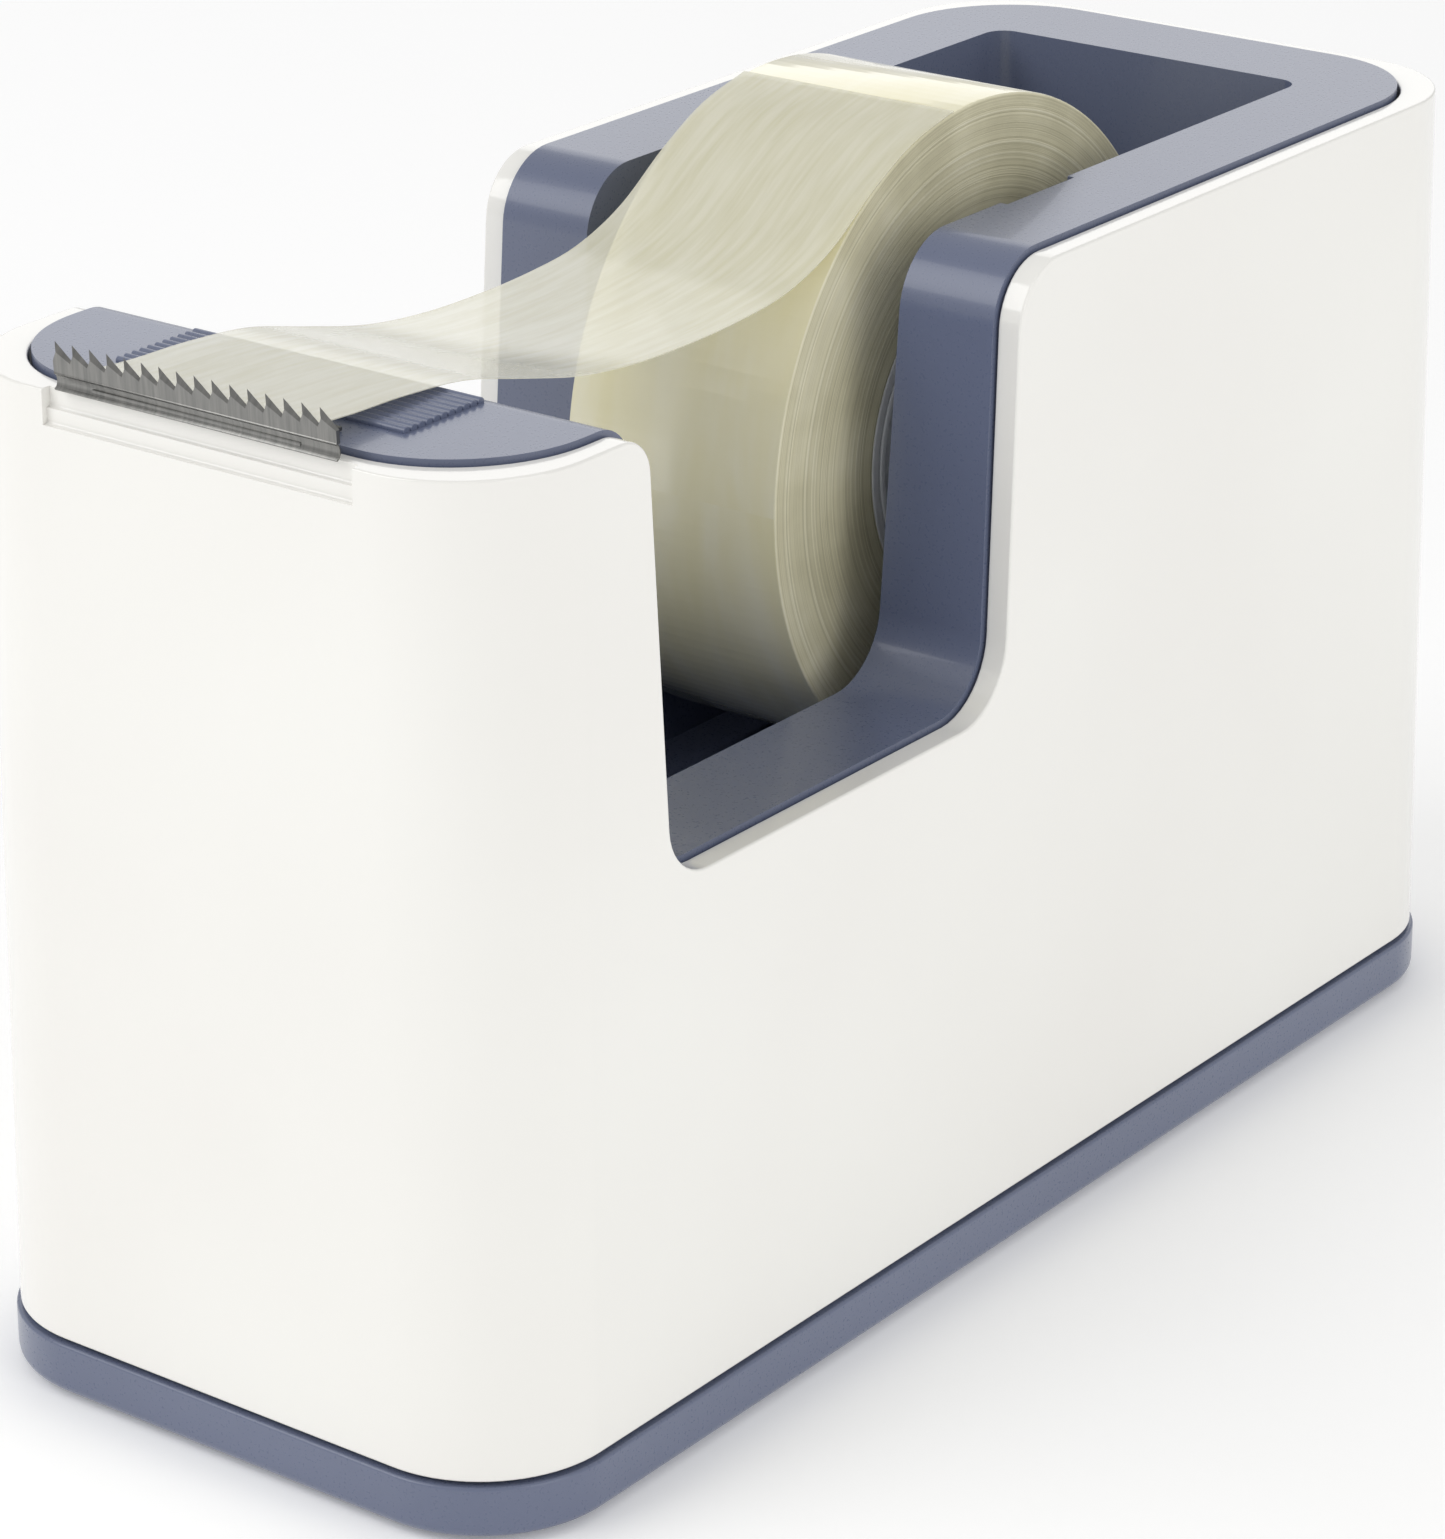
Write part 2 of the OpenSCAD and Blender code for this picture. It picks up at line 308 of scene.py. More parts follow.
def plastic(name, stops, roughness, grain_mm, grain_depth, sink_mm, sink_depth, ior=1.53, coat=0.0):
    """Moulded plastic: a faint tone drift, fine grain and slow sink marks."""
    material, shader = new_material(name, IOR=ior, Coat_Weight=coat, Coat_Roughness=0.06)
    where = add_node(material, "ShaderNodeTexCoord")
    drift = add_node(material, "ShaderNodeTexNoise", {"Vector": (where, "Object"), "Scale": 1000 / 38,
                                                      "Detail": 2.0})
    tint(material, shader, (drift, "Fac"), stops)
    grain = add_node(material, "ShaderNodeTexNoise", {"Vector": (where, "Object"),
                                                      "Scale": 1000 / grain_mm, "Detail": 3.0})
    sink = add_node(material, "ShaderNodeTexNoise", {"Vector": (where, "Object"), "Scale": 1000 / sink_mm,
                                                     "Detail": 1.0})
    slow = add_node(material, "ShaderNodeBump", {"Height": (sink, "Fac"), "Strength": 1.0,
                                                 "Distance": sink_depth * MM})
    fine = add_node(material, "ShaderNodeBump", {"Height": (grain, "Fac"), "Strength": 1.0,
                                                 "Distance": grain_depth * MM, "Normal": (slow, "Normal")})
    rough = add_node(material, "ShaderNodeMapRange", {"Value": (grain, "Fac"),
                                                      "From Min": 0.3, "From Max": 0.7,
                                                      "To Min": roughness[0], "To Max": roughness[1]})
    link(material, rough, "Result", shader, "Roughness")
    link(material, fine, "Normal", shader, "Normal")
    return material


# White ABS from a polished mould: warm white, a hard gloss with faint sink marks
white_abs = plastic("white_gloss_abs", ((0.3, "#f3f1ec"), (0.7, "#f7f6f1")), (0.10, 0.15),
                    0.35, 0.0012, 26, 0.02, coat=0.5)
dress(shell, white_abs)
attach(shell, "root")
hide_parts("outer_shell")

# ---------------------------------------------------------------------------
# Tape well. The blue-grey liner, moulded in satin ABS: a rim round the pocket,
# faces that line the notch, the front platform with its grip ribs, and the
# pocket with two open slots in its sides that take the hub's stub axles.
FIT_GAP = 0.17 * MM
SKIN = 2.2 * MM
AXLE_Y, AXLE_Z = frame["record"]["behaviour"]["joints"][1]["pos_m"][1:]
STUB_R = 4.3 * MM
POCKET_HALF, POCKET_FRONT, POCKET_REAR, POCKET_FLOOR = 14.3 * MM, -40.6 * MM, 50.9 * MM, 29 * MM
POCKET_LEAN = math.tan(math.radians(1.3))


def pocket_tool(name, grow):
    """The pocket's inside, grown by a wall: narrower below, round-cornered, with a scooped floor."""
    top = 100 * MM
    floor = POCKET_FLOOR - grow
    half = POCKET_HALF + grow + (top - BODY_TOP) * POCKET_LEAN
    tool = block(name, (-half, POCKET_FRONT - grow, floor), (half, POCKET_REAR + grow, top))
    round_edges(tool, lambda e: along(e, 2), 1.8 * MM + grow * 0.5, 6)
    pick(tool, "VERT", lambda v: v.co.z < floor + 1e-5)
    bpy.ops.transform.resize(value=(1 - (top - floor) * POCKET_LEAN / half, 1, 1),
                             center_override=(0, 0, floor))
    done(tool)
    round_edges(tool, lambda e: along(e, 0) and e.verts[0].co.z < floor + 1e-5, 13 * MM, 14)
    return tool


def crosswise_rod(radius, length, place, sides):
    """A cylinder that lies across the body."""
    deselect()
    bpy.ops.mesh.primitive_cylinder_add(vertices=sides, radius=radius, depth=length,
                                        rotation=(0, math.pi / 2, 0), location=place)
    return settle(bpy.context.object)


def repeat(piece, count, step, **settings):
    """Copies a piece in a row, each one step from the last."""
    return apply_modifier(piece, "ARRAY", count=count, use_relative_offset=False, use_constant_offset=True,
                          constant_offset_displace=step, **settings)


well = notched_body("tape_well_liner", WALL + FIT_GAP, CORNER + 0.5 * MM, 0, 24 * MM)
under = notched_body("well_underside", -3 * MM, CORNER, SKIN, 10 * MM)
cut(under, pocket_tool("pocket_wall", 2 * MM))
cut(well, under)
cut(well, pocket_tool("pocket_inside", 0))
SLOT_R, SLOT_REACH = STUB_R + 0.08 * MM, 14.9 * MM
for side in (-1, 1):
    slot = block("axle_slot", (min(0, side * SLOT_REACH), AXLE_Y - SLOT_R, AXLE_Z),
                 (max(0, side * SLOT_REACH), AXLE_Y + SLOT_R, BODY_TOP + 9 * MM))
    slot_foot = crosswise_rod(SLOT_R, SLOT_REACH, (side * SLOT_REACH / 2, AXLE_Y, AXLE_Z), 64)
    cut(slot, slot_foot, "UNION")
    cut(well, slot)
soften(well, 0.5 * MM, 4, 50)
weigh(well)

RIB_R, RIB_HALF, RIB_COUNT, RIB_PITCH, RIB_FIRST = 0.31 * MM, 12.5 * MM, 11, 0.75 * MM, -55.5 * MM
RIB_RISE = 0.08 * MM                          # of a rib's own axis, above the shell's tower
ribs = crosswise_rod(RIB_R, 2 * RIB_HALF, (0, RIB_FIRST, tower_top + RIB_RISE), 20)
ribs.name = "grip_ribs"
round_edges(ribs, lambda e: abs(abs(e.verts[0].co.x) - RIB_HALF) < 1e-6
            and abs(abs(e.verts[1].co.x) - RIB_HALF) < 1e-6, 0.26 * MM, 4)
repeat(ribs, RIB_COUNT, (0, RIB_PITCH, 0))
smooth(ribs, 50)

# Blue-grey ABS with a satin moulded face: low gloss, fine spark grain
slate_abs = plastic("slate_satin_abs", ((0.3, "#626a83"), (0.7, "#69718a")), (0.27, 0.29),
                    0.25, 0.0009, 30, 0.012, coat=0.25)
for piece in (well, ribs):
    dress(piece, slate_abs)
    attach(piece, "root")
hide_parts("tape_well")

# ---------------------------------------------------------------------------
# Base tray. The same blue-grey ABS: a shallow tray whose band shows all round
# below the shell, with a rounded lower edge, and a lip that locates the sleeve.
# Its underside has the recesses for the feet and the screws.
BASE_HALF_W, BASE_HALF_D = cad_hi.x, cad_hi.y
FOOT_H, BASE_TOP = 0.5 * MM, 4.5 * MM
SCREW_X, SCREW_Y = 17 * MM, 51 * MM
BALLAST_SCREW_Y = (-37 * MM, 35 * MM)


def rounded_slab(name, inset, low, high, corner):
    """An upright slab on the tray's outline, taken in all round."""
    half_w, half_d = BASE_HALF_W - inset, BASE_HALF_D - inset
    piece = block(name, (-half_w, -half_d, low), (half_w, half_d, high))
    return round_edges(piece, lambda e: along(e, 2), corner, 20)


def round_tool(x, y, low, high, radius, sides=48):
    """An upright cylinder used as a drill."""
    deselect()
    bpy.ops.mesh.primitive_cylinder_add(vertices=sides, radius=radius, depth=high - low,
                                        location=(x, y, (low + high) / 2))
    return settle(bpy.context.object)


tray = rounded_slab("base_band", 0, FOOT_H, BASE_TOP, CORNER + 0.3 * MM)
round_edges(tray, lambda e: max(c.z for c in ends(e)) < FOOT_H + 1e-5, 0.9 * MM, 5)
round_edges(tray, lambda e: min(c.z for c in ends(e)) > BASE_TOP - 1e-5, 0.25 * MM, 3)
cut(tray, rounded_slab("base_lip", 2.55 * MM, BASE_TOP - 0.2 * MM, BASE_TOP + 3 * MM, CORNER), "UNION")
cut(tray, rounded_slab("base_hollow", 4.05 * MM, FOOT_H + 2.2 * MM, BASE_TOP + 6 * MM, CORNER - 1.5 * MM))
for sx in (-1, 1):
    for sy in (-1, 1):
        cut(tray, round_tool(sx * SCREW_X, sy * SCREW_Y, -MM, FOOT_H + 0.95 * MM, 6.1 * MM))
for y in BALLAST_SCREW_Y:
    cut(tray, round_tool(0, y, -MM, FOOT_H + 1.4 * MM, 2.9 * MM))
weigh(smooth(tray))
dress(tray, slate_abs)
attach(tray, "root")
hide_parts("base_tray")

# ---------------------------------------------------------------------------
# Feet. Four black rubber discs, die-cut from ribbed sheet and glued into the
# tray's recesses, over the base screws; each stands half a millimetre proud.
# Rubber is matt, nearly black, with a dusty bloom.



def object_noise(material, size_mm, detail):
    """Noise with cells of a size in millimetres, fixed to the piece."""
    place = add_node(material, "ShaderNodeTexCoord")
    return add_node(material, "ShaderNodeTexNoise", {"Vector": (place, "Object"),
                                                     "Scale": 1000 / size_mm, "Detail": detail})


def relief(material, shader, source, depth):
    """Bump of a given depth, driven by a (node, output)."""
    bump = add_node(material, "ShaderNodeBump", {"Height": source, "Distance": depth})
    link(material, bump, "Normal", shader, "Normal")


rubber, rubber_shader = new_material("black_nitrile_rubber", IOR=1.5, Roughness=0.8)
bloom = object_noise(rubber, 1.5, 6.0)
tint(rubber, rubber_shader, (bloom, "Fac"), ((0.35, "#26272a"), (0.7, "#3b3c40")))
relief(rubber, rubber_shader, (bloom, "Fac"), 0.03 * MM)

PAD_R = 6 * MM
PAD_RINGS = ((0.5, 0.0), (1.4, 0.0), (0.15, 0.12), (1.4, 0.0), (0.15, -0.12))   # inset, rise, in mm
for foot_name in ("foot_front_left", "foot_front_right", "foot_rear_left", "foot_rear_right"):
    foot_lo, foot_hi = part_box(foot_name)
    middle = (foot_lo + foot_hi) / 2
    pad = round_tool(middle.x, middle.y, foot_lo.z, foot_hi.z, PAD_R, 64)
    pad.name = "pad_" + foot_name[5:]
    pick(pad, "FACE", lambda f: f.normal.z < -0.9)
    for inset, rise in PAD_RINGS:
        bpy.ops.mesh.inset(thickness=inset * MM)
        bpy.ops.transform.translate(value=(0, 0, rise * MM))
    done(pad)
    soften(pad, 0.15 * MM, 3)
    dress(pad, rubber)
    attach(pad, "root")
    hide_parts(foot_name)

# ---------------------------------------------------------------------------
# Screws. Zinc-plated steel pan heads with a cross recess: four hold the tray to
# the well's posts, under the feet, and two clamp the ballast plates to the tray.
# Zinc gives a pale bright metal with soft cloudy patches.



def vary_gloss(material, shader, source, low, high):
    """Roughness between two values, driven by a (node, output)."""
    spread = add_node(material, "ShaderNodeMapRange", {"Value": source, "To Min": low, "To Max": high})
    link(material, spread, "Result", shader, "Roughness")


zinc, zinc_shader = new_material("zinc_plated_steel", Metallic=1.0)
cloud = object_noise(zinc, 1.2, 4.0)
tint(zinc, zinc_shader, (cloud, "Fac"), ((0.3, "#a9adb1"), (0.7, "#c8ccce")))
vary_gloss(zinc, zinc_shader, (cloud, "Fac"), 0.22, 0.42)

HEAD_R, HEAD_H, HEAD_ROUND = 2.7 * MM, 1.3 * MM, 0.4 * MM
CROSS_REACH, CROSS_HALF, CROSS_DEPTH = 1.5 * MM, 0.3 * MM, 0.7 * MM
SHANK_R, THREAD_PITCH, THREAD_SWELL = 1.2 * MM, 0.5 * MM, 1.16


def screw(name, x, y, head_low, length, places):
    """One screw: head with its cross recess, and shank with rolled threads; copied to each place."""
    head = round_tool(x, y, head_low, head_low + HEAD_H, HEAD_R, 40)
    round_edges(head, lambda e: max(c.z for c in ends(e)) < head_low + 1e-6, HEAD_ROUND, 4)
    for half_x, half_y in ((CROSS_HALF, CROSS_REACH), (CROSS_REACH, CROSS_HALF)):
        cut(head, block("recess_arm", (x - half_x, y - half_y, head_low - MM),
                        (x + half_x, y + half_y, head_low + CROSS_DEPTH)))
    shank_low = head_low + HEAD_H - 0.1 * MM
    shank = round_tool(x, y, shank_low, shank_low + THREAD_PITCH, SHANK_R, 24)
    pick(shank, "FACE", lambda f: abs(f.normal.z) < 0.1)
    bpy.ops.mesh.subdivide(number_cuts=1)
    done(shank)
    pick(shank, "VERT", lambda v: abs(v.co.z - shank_low - THREAD_PITCH / 2) < 0.05 * MM)
    bpy.ops.transform.resize(value=(THREAD_SWELL, THREAD_SWELL, 1), center_override=(x, y, head_low))
    done(shank)
    repeat(shank, int(length / THREAD_PITCH), (0, 0, THREAD_PITCH))
    take(head)
    shank.select_set(True)
    bpy.ops.object.join()
    copies = [head]
    for px, py in places[1:]:
        twin = head.copy()
        twin.data = head.data.copy()
        bpy.context.collection.objects.link(twin)
        twin.location = (px - x, py - y, 0)
        copies.append(settle(twin))
    take(head)
    for twin in copies:
        twin.select_set(True)
    bpy.ops.object.join()
    head.name = name
    return smooth(head, 40)


corner_places = [(sx * SCREW_X, sy * SCREW_Y) for sx in (-1, 1) for sy in (-1, 1)]
clamp_places = [(0, y) for y in BALLAST_SCREW_Y]
for name, places, low, length, node in (
        ("tray_screws", corner_places, FOOT_H + 1.3 * MM, 13.5 * MM, "base_screws"),
        ("plate_screws", clamp_places, FOOT_H + 0.1 * MM, 22 * MM, "ballast_screws")):
    group = screw(name, *places[0], low, length, places)
    dress(group, zinc)
    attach(group, "root")
    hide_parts(node)

# ---------------------------------------------------------------------------
# Ballast. Five blackened steel plates stacked in the tray, out of sight; the
# CAD solids have their true shape, so they stay and take a mill-scale finish.
scale_steel, scale_shader = new_material("mill_scale_steel", Metallic=0.6)
flake = object_noise(scale_steel, 6, 8.0)
tint(scale_steel, scale_shader, (flake, "Fac"), ((0.35, "#2c2d30"), (0.7, "#4a4846")))
vary_gloss(scale_steel, scale_shader, (flake, "Fac"), 0.45, 0.75)
for number in range(1, 6):
    dress(frame["nodes"][f"ballast_plate_{number}"], scale_steel)

# ---------------------------------------------------------------------------
# Cutter. A strip of hardened stainless steel, folded over the edge of the
# tower: a hollow lip in the shell's recess, a tongue below the tape, and a
# leaning row of saw teeth whose sloping edges are ground from the front.
BLADE_HALF, BLADE_T, HEEL_Y = 12.2 * MM, 0.32 * MM, -61.6 * MM
TEETH, TOOTH_H, ROOT_H, TOOTH_LEAN = 16, 1.25 * MM, 0.9 * MM, math.radians(3)
ROOT_Z = 76.8 * MM
LIP_LINE = ((-61.95, 75.68), (-61.72, 75.85), (-61.62, 76.1), (-61.62, 76.4), (-61.74, 76.7),
            (-61.95, 76.86))                  # y and z in millimetres, from below


def strip(name, line, half):
    """A folded strip: an edge drawn along a side view (y, z) in millimetres, swept into a sheet with no
    thickness yet.
    """
    deselect()
    bpy.ops.mesh.primitive_plane_add(size=1)
    piece = bpy.context.object
    piece.name = name
    pick(piece, "VERT", lambda v: v.co.y > 0)
    bpy.ops.mesh.delete(type="VERT")
    bpy.ops.mesh.select_all(action="SELECT")
    mesh = bmesh.from_edit_mesh(piece.data)
    for vert in mesh.verts:
        vert.co = (half * (1 if vert.co.x > 0 else -1), line[0][0] * MM, line[0][1] * MM)
    bmesh.update_edit_mesh(piece.data)
    for (y0, z0), (y1, z1) in zip(line, line[1:]):
        way = (0, (y1 - y0) * MM, (z1 - z0) * MM)
        bpy.ops.mesh.extrude_region_move(TRANSFORM_OT_translate={"value": way})
    return done(piece)


lip = strip("cutter_strip", LIP_LINE, BLADE_HALF)
apply_modifier(lip, "SOLIDIFY", thickness=BLADE_T * 0.5, offset=0)
FOLD_ANGLE = math.radians(60)
apply_modifier(lip, "BEVEL", width=0.05 * MM, segments=2, limit_method="ANGLE", angle_limit=FOLD_ANGLE)
tongue = block("cutter_tongue", (-9 * MM, -61.8 * MM, 75.95 * MM), (9 * MM, -57.7 * MM, 76.25 * MM))
apply_modifier(tongue, "BEVEL", width=0.06 * MM, segments=2, limit_method="ANGLE", angle_limit=FOLD_ANGLE)
pitch = 2 * BLADE_HALF / TEETH
tooth = block("tooth", (0, -BLADE_T, 0), (pitch, 0, ROOT_H))
pick(tooth, "FACE", lambda f: f.normal.z > 0.9)
bpy.ops.mesh.extrude_region_move(TRANSFORM_OT_translate={"value": (0, 0, TOOTH_H)})
done(tooth)
pick(tooth, "VERT", lambda v: v.co.z > ROOT_H + TOOTH_H / 2 and v.co.x > pitch / 2)
bpy.ops.transform.translate(value=(0, 0, -TOOTH_H * 0.985))
done(tooth)
# the front corner of each tip is ground back, so a facet falls away from the sloping edge
pick(tooth, "VERT", lambda v: v.co.z > ROOT_H + TOOTH_H / 2 and v.co.y < -BLADE_T / 2)
bpy.ops.transform.translate(value=(pitch * 0.2, 0, -TOOTH_H * 0.5))
done(tooth)
repeat(tooth, TEETH, (pitch, 0, 0), use_merge_vertices=True, merge_threshold=0.01 * MM)
tooth.rotation_euler = (TOOTH_LEAN, 0, 0)
tooth.location = (-BLADE_HALF, HEEL_Y, ROOT_Z)
settle(tooth)
take(lip)
tongue.select_set(True)
tooth.select_set(True)
bpy.ops.object.join()
smooth(lip, 28)

# Ground stainless: mid grey, with fine straight grinding lines up the strip
ground_steel, ground_shader = new_material("ground_stainless_steel", Metallic=1.0, Anisotropic=0.35)
steel_place = add_node(ground_steel, "ShaderNodeTexCoord")
stretched = add_node(ground_steel, "ShaderNodeMapping", {"Vector": (steel_place, "Object"),
                                                         "Scale": (1.0, 0.05, 0.05)})
scratch = add_node(ground_steel, "ShaderNodeTexNoise", {"Vector": (stretched, "Vector"),
                                                        "Scale": 1000 / 0.2, "Detail": 2.0})
tint(ground_steel, ground_shader, (scratch, "Fac"), ((0.3, "#7c7c7a"), (0.7, "#908f8c")))
vary_gloss(ground_steel, ground_shader, (scratch, "Fac"), 0.26, 0.34)
relief(ground_steel, ground_shader, (scratch, "Fac"), 0.0015 * MM)
dress(lip, ground_steel)
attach(lip, "root")
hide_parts("cutter_blade")

# ---------------------------------------------------------------------------
# Roll of tape. Film wound on a core: the sides show the edges of hundreds of
# turns as fine rings, slightly uneven where turns were wound off line, and the
# outer turn is smooth and glossy with a yellow tone that deepens with layers.
ROLL_R = (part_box("tape_windings")[1].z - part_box("tape_windings")[0].z) / 2
TAPE_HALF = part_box("tape_windings")[1].x
CORE_R, CORE_IN = 13.4 * MM, 12.4 * MM


def reel_ring(name, r_out, r_in, half, rings, sides=160):
    """A tube about the axle: a circle swept along the outside, over an end, back inside, and closed."""
    steps = [r_out + (r_in - r_out) * k / (rings + 1) for k in range(rings + 2)]
    sweep = [(half, radius) for radius in steps] + [(-half, radius) for radius in reversed(steps)]
    deselect()
    bpy.ops.mesh.primitive_circle_add(vertices=sides, radius=r_out, rotation=(0, math.pi / 2, 0),
                                      location=(-half, AXLE_Y, AXLE_Z))
    piece = settle(bpy.context.object)
    piece.name = name
    bpy.ops.object.mode_set(mode="EDIT")
    bpy.ops.mesh.select_mode(type="EDGE")
    bpy.ops.mesh.select_all(action="SELECT")
    for x, radius in sweep:
        bpy.ops.mesh.extrude_region_move()
        mesh = bmesh.from_edit_mesh(piece.data)
        for vert in (v for v in mesh.verts if v.select):
            around = Vector((0, vert.co.y - AXLE_Y, vert.co.z - AXLE_Z)).normalized() * radius
            vert.co = (x, AXLE_Y + around.y, AXLE_Z + around.z)
        bmesh.update_edit_mesh(piece.data)
    bpy.ops.mesh.select_all(action="SELECT")
    bpy.ops.mesh.remove_doubles(threshold=1e-6)
    bpy.ops.mesh.normals_make_consistent(inside=False)
    return done(piece)


def reach(point):
    """Distance from the axle's line."""
    return math.hypot(point.y - AXLE_Y, point.z - AXLE_Z)


roll = reel_ring("wound_tape", ROLL_R, CORE_R, TAPE_HALF - 0.05 * MM, 40)
random.seed(7)
ring_shift = {}
for vert in roll.data.vertices:
    turn_radius = reach(vert.co)
    key = round(turn_radius / (0.05 * MM))
    ring_shift.setdefault(key, random.uniform(-0.07, 0.03) * MM)
    if ROLL_R - 0.2 * MM > turn_radius > CORE_R + 0.2 * MM:
        vert.co.x += math.copysign(ring_shift[key], vert.co.x)
round_edges(roll, lambda e: all(abs(reach(c) - ROLL_R) < 1e-5 and abs(c.x) > TAPE_HALF - 0.1 * MM
                                for c in ends(e)), 0.12 * MM, 2)
smooth(roll, 30)


def axle_radius(material):
    """Nodes that give the place on the piece, the place from the axle's line, and its distance."""
    place = add_node(material, "ShaderNodeTexCoord")
    centred = add_node(material, "ShaderNodeMapping", {"Vector": (place, "Object"),
                                                       "Location": (0, -AXLE_Y, -AXLE_Z), "Scale": (0, 1, 1)})
    length = add_node(material, "ShaderNodeVectorMath", {0: (centred, "Vector")}, operation="LENGTH")
    return place, centred, length


# Sides of the roll: edges of film, drawn as coarse as 0.3 mm so that they show
edge_film, edge_shader = new_material("wound_film_edges", IOR=1.49)
_, edge_centred, edge_length = axle_radius(edge_film)
fine_rings = add_node(edge_film, "ShaderNodeTexNoise", {"W": (edge_length, "Value"), "Scale": 1000 / 0.3,
                                                        "Detail": 3.0, "Roughness": 0.7},
                      noise_dimensions="1D")
patches = add_node(edge_film, "ShaderNodeTexNoise", {"Vector": (edge_centred, "Vector"),
                                                     "Scale": 1000 / 9, "Detail": 3.0})
ring_mix = add_node(edge_film, "ShaderNodeMath", {0: (fine_rings, "Fac"), 1: (patches, "Fac")},
                    operation="ADD")
ring_half = add_node(edge_film, "ShaderNodeMath", {0: (ring_mix, "Value"), 1: 0.5}, operation="MULTIPLY")
tint(edge_film, edge_shader, (ring_half, "Value"), ((0.36, "#c4be9e"), (0.5, "#ddd7b6"), (0.64, "#f0ebd0")))
relief(edge_film, edge_shader, (fine_rings, "Fac"), 0.05 * MM)
vary_gloss(edge_film, edge_shader, (patches, "Fac"), 0.35, 0.6)

# Outer turn: clear glossy film over yellow layers, with trapped-air streaks along the winding
face_film, face_shader = new_material("wound_film_face", IOR=1.49, Coat_Weight=0.6, Coat_Roughness=0.05)
face_place, face_centred, _ = axle_radius(face_film)
face_parts = add_node(face_film, "ShaderNodeSeparateXYZ", {"Vector": (face_centred, "Vector")})
face_angle = add_node(face_film, "ShaderNodeMath", {0: (face_parts, "Z"), 1: (face_parts, "Y")},
                      operation="ARCTAN2")
face_x = add_node(face_film, "ShaderNodeSeparateXYZ", {"Vector": (face_place, "Object")})
face_flat = add_node(face_film, "ShaderNodeCombineXYZ", {"X": (face_angle, "Value"), "Y": (face_x, "X")})
streak_map = add_node(face_film, "ShaderNodeMapping", {"Vector": (face_flat, "Vector"),
                                                       "Scale": (1.2, 200.0, 1.0)})
streaks = add_node(face_film, "ShaderNodeTexNoise", {"Vector": (streak_map, "Vector"), "Scale": 1.0,
                                                     "Detail": 3.0, "Distortion": 0.4})
tint(face_film, face_shader, (streaks, "Fac"), ((0.3, "#f2ebc0"), (0.5, "#f6f0cc"), (0.72, "#faf6dc")))
vary_gloss(face_film, face_shader, (streaks, "Fac"), 0.1, 0.18)
relief(face_film, face_shader, (streaks, "Fac"), 0.015 * MM)
dress(roll, edge_film, face_film)
for face in roll.data.polygons:
    face.material_index = 1 if abs(face.normal.x) < 0.5 and reach(face.center) > ROLL_R - 0.3 * MM else 0
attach(roll, "reel")
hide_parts("tape_windings")

# ---------------------------------------------------------------------------
# Core. A thin milky polypropylene tube that the film is wound on, cut to the
# tape's width; it glows a little because light passes into it.
core = reel_ring("core_tube", CORE_R - 0.03 * MM, CORE_IN, TAPE_HALF, 2, 96)
soften(core, 0.15 * MM, 3)
milky = plastic("milky_polypropylene", ((0.3, "#eaecec"), (0.7, "#f4f5f5")), (0.28, 0.4),
                0.5, 0.004, 12, 0.02, ior=1.49)
milky_shader = milky.node_tree.nodes["Principled BSDF"]
milky_shader.inputs["Subsurface Weight"].default_value = 0.25
milky_shader.inputs["Subsurface Radius"].default_value = (2 * MM, 2 * MM, 1.8 * MM)
milky_shader.inputs["Subsurface Scale"].default_value = 1.0
dress(core, milky)
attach(core, "reel")
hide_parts("tape_core")

# ---------------------------------------------------------------------------
# Hub. Two moulded halves pushed together inside the core; each has a drum, a
# recessed web with spokes, a shoulder and a hollow stub axle that drops into a
# slot. Natural acetal: white with a soft wax-like sheen.
acetal = plastic("natural_acetal", ((0.3, "#e9ecee"), (0.7, "#f2f4f5")), (0.3, 0.42),
                 0.4, 0.004, 14, 0.02, ior=1.48)
PARTING = 0.05 * MM                           # from the middle to where each half begins
DRUM_LENGTH = TAPE_HALF - PARTING
HUB_STEPS = ((0.7, -0.35), (4.7, 3.5), (2.6, 1.2), (2.6, -6.0))   # inset and rise of each, in mm
SPOKE_X, SPOKE_LOW, SPOKE_HIGH = 9.0 * MM, 6.5 * MM, 11.8 * MM
for side, node in ((-1, "hub_left"), (1, "hub_right")):
    hub = crosswise_rod(CORE_IN - 0.1 * MM, DRUM_LENGTH,
                        (side * (DRUM_LENGTH / 2 + PARTING), AXLE_Y, AXLE_Z), 96)
    hub.name = "hub_half_" + node[4:]
    pick(hub, "FACE", lambda f: f.normal.x * side > 0.9)
    for inset, push in HUB_STEPS:
        bpy.ops.mesh.inset(thickness=inset * MM)
        bpy.ops.mesh.extrude_region_move(TRANSFORM_OT_translate={"value": (side * push * MM, 0, 0)})
    done(hub)
    soften(hub, 0.2 * MM, 3)
    for spoke in range(6):
        arm = block("spoke", (side * SPOKE_X - 0.4 * MM, -0.5 * MM, SPOKE_LOW),
                    (side * SPOKE_X + 0.4 * MM, 0.5 * MM, SPOKE_HIGH))
        arm.rotation_euler = (spoke * math.pi / 3, 0, 0)
        arm.location = (0, AXLE_Y, AXLE_Z)
        settle(arm)
        soften(arm, 0.12 * MM, 2)
        take(hub)
        arm.select_set(True)
        bpy.ops.object.join()
    dress(hub, acetal)
    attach(hub, "reel")
    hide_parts(node)

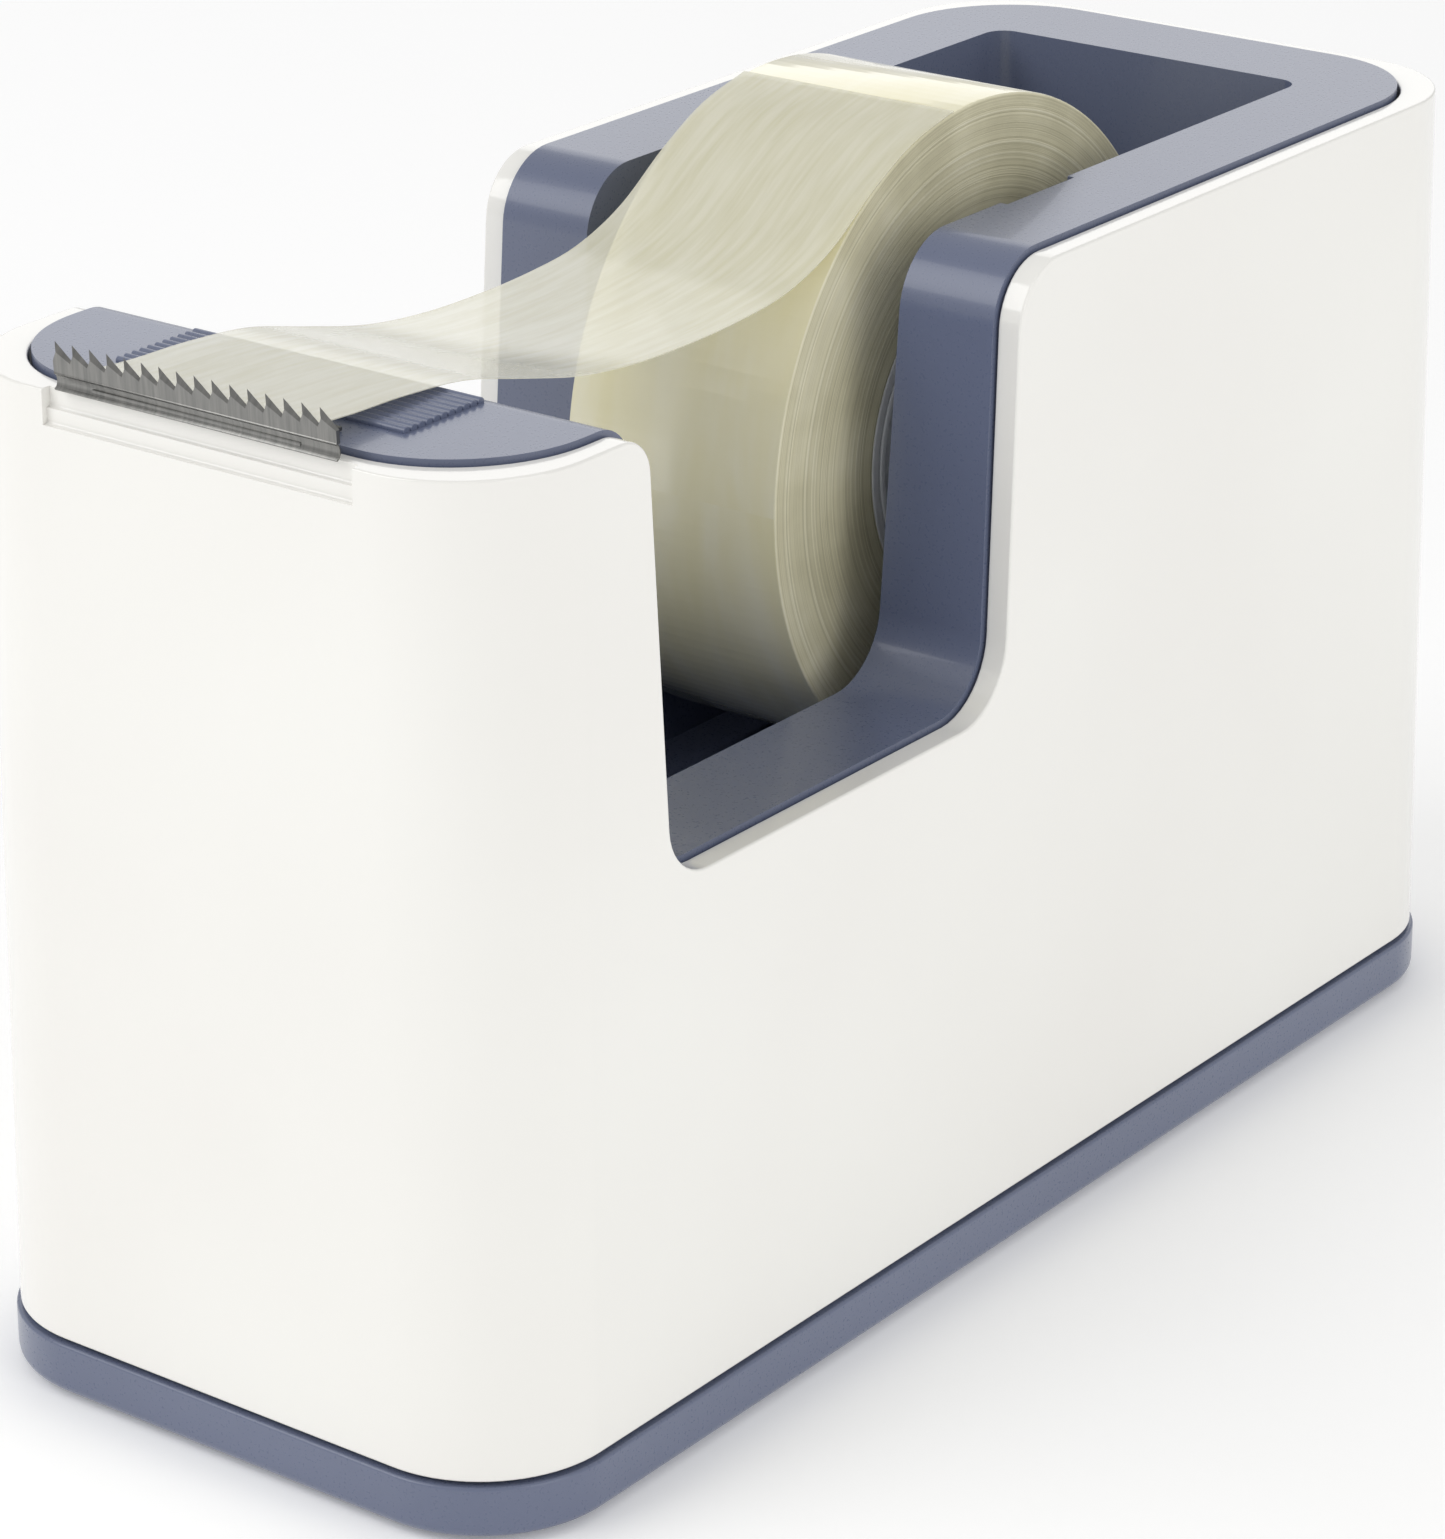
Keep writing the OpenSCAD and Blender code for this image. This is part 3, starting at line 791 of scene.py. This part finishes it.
# ---------------------------------------------------------------------------
# Loose end. Cellophane-clear film drawn off the top of the roll: it lies round
# the last of the roll, peels away at a tangent, sags across the notch and is
# stuck down over the ribs as far as the teeth.
FILM_T = 0.07 * MM
WRAP_FROM, WRAP_TO = math.radians(98), math.radians(122)
WRAP_R = ROLL_R + 0.12 * MM
LOOSE_LINE = ((-5.2, 75.35), (-10.5, 73.5), (-16, 72.85), (-22, 72.65), (-28, 72.8), (-34, 73.5),
              (-40, 74.9), (-46, 76.35), (-52, 76.9), (-57, 77.05), (-61.1, 77.3))   # y and z, in mm
wrap = [Vector((0, AXLE_Y + WRAP_R * math.cos(a), AXLE_Z + WRAP_R * math.sin(a)))
        for a in (WRAP_FROM + (WRAP_TO - WRAP_FROM) * i / 2 for i in range(3))]
knots = wrap + [Vector((0, y * MM, z * MM)) for y, z in LOOSE_LINE]


def smooth_line(points, steps):
    """A curve through the points, as evenly blended spans."""
    line = []
    for i in range(len(points) - 1):
        a, b, c, d = (points[max(0, min(len(points) - 1, i + k))] for k in (-1, 0, 1, 2))
        for step in range(steps):
            t = step / steps
            line.append(0.5 * (2 * b + (c - a) * t + (2 * a - 5 * b + 4 * c - d) * t * t
                               + (3 * b - a - 3 * c + d) * t * t * t))
    return line + [points[-1]]


film_line = smooth_line(knots, 6)
ACROSS = 12
CUP = 0.35 * MM                               # how far the free film's middle hangs below its edges
deselect()
bpy.ops.mesh.primitive_grid_add(x_subdivisions=ACROSS, y_subdivisions=len(film_line) - 1, size=2)
film = bpy.context.object
film.name = "loose_film"
for vert in film.data.vertices:
    row = round((vert.co.y + 1) / 2 * (len(film_line) - 1))
    share = vert.co.x
    free = math.sin(math.pi * min(1, max(0, (row / (len(film_line) - 1) - 0.35) / 0.4)))
    vert.co = film_line[row] + Vector((share * TAPE_HALF, 0, -CUP * free * (1 - share * share)))
take(film)
bpy.ops.object.mode_set(mode="EDIT")
bpy.ops.mesh.select_all(action="SELECT")
bpy.ops.mesh.normals_make_consistent(inside=False)
done(film)
apply_modifier(film, "SOLIDIFY", thickness=FILM_T, offset=0)
smooth(film, 40)

# Clear acetate film with a matt writing coat: milky where it is seen against something near
clear_film, film_shader = new_material("matt_acetate_film", IOR=1.47, Alpha=0.56,
                                       Coat_Weight=0.3, Coat_Roughness=0.15)
film_place = add_node(clear_film, "ShaderNodeTexCoord")
film_map = add_node(clear_film, "ShaderNodeMapping", {"Vector": (film_place, "Object"),
                                                      "Scale": (1.0, 0.08, 0.08)})
film_streak = add_node(clear_film, "ShaderNodeTexNoise", {"Vector": (film_map, "Vector"),
                                                          "Scale": 1000 / 0.6, "Detail": 4.0})
tint(clear_film, film_shader, (film_streak, "Fac"), ((0.35, "#ebe8d0"), (0.65, "#f5f3e2")))
vary_gloss(clear_film, film_shader, (film_streak, "Fac"), 0.12, 0.26)
relief(clear_film, film_shader, (film_streak, "Fac"), 0.003 * MM)
dress(film, clear_film)
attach(film, "loose_end")
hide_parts("tape_end")

# ---------------------------------------------------------------------------
# Studio. A flat sheet of white paper, one large soft light from the left front,
# a weaker one from the right and a wide one from behind for the rims.
deselect()
bpy.ops.mesh.primitive_plane_add(size=6, location=(0, 0, 0))
floor = bpy.context.object
floor.name = "studio_floor"
paper, _ = new_material("white_paper", Base_Color=linear("#fdfdfd"), Roughness=0.9,
                        Emission_Color=linear("#ffffff"), Emission_Strength=0.14)
dress(floor, paper)


def softbox(name, place, size, watts, aim=(0, 0, 0.04)):
    """A flat rectangular lamp turned towards a point."""
    data = bpy.data.lights.new(name, "AREA")
    data.shape, data.size, data.size_y, data.energy = "RECTANGLE", size[0], size[1], watts
    lamp = bpy.data.objects.new(name, data)
    bpy.context.collection.objects.link(lamp)
    lamp.location = place
    lamp.rotation_euler = (Vector(aim) - Vector(place)).to_track_quat("-Z", "Y").to_euler()


softbox("key", (-0.35, -0.5, 0.55), (0.5, 0.5), 1.8)
softbox("fill", (0.75, -0.1, 0.35), (0.5, 0.6), 1.1)
softbox("back", (-0.62, 0.85, 0.46), (0.9, 0.5), 1.1)
world = bpy.data.worlds.new("studio_air")
world.use_nodes = True
world.node_tree.nodes["Background"].inputs["Color"].default_value = (1.0, 1.0, 1.0, 1.0)
world.node_tree.nodes["Background"].inputs["Strength"].default_value = 0.63
bpy.context.scene.world = world
bpy.context.scene.view_settings.view_transform = "Standard"

# Camera, with a long lens, from the right front and a little above; lens and sensor in millimetres
camera_data = bpy.data.cameras.new("camera")
camera_data.sensor_width = 36
camera_data.lens = 123.97427
camera_data.clip_start, camera_data.clip_end = 0.01, 10
camera = bpy.data.objects.new("camera", camera_data)
bpy.context.collection.objects.link(camera)
camera.location = (0.22172, -0.29952, 0.18428)
AZIMUTH, ELEVATION, ROLL = math.radians(37.03), math.radians(22.31), math.radians(-0.15)
back = Vector((math.sin(AZIMUTH) * math.cos(ELEVATION), -math.cos(AZIMUTH) * math.cos(ELEVATION),
               math.sin(ELEVATION)))
level = Vector((math.cos(AZIMUTH), math.sin(AZIMUTH), 0))
upright = back.cross(level)
right = level * math.cos(ROLL) + upright * math.sin(ROLL)
camera.rotation_mode = "QUATERNION"
camera.rotation_quaternion = Matrix((right, back.cross(right), back)).transposed().to_quaternion()
bpy.context.scene.camera = camera
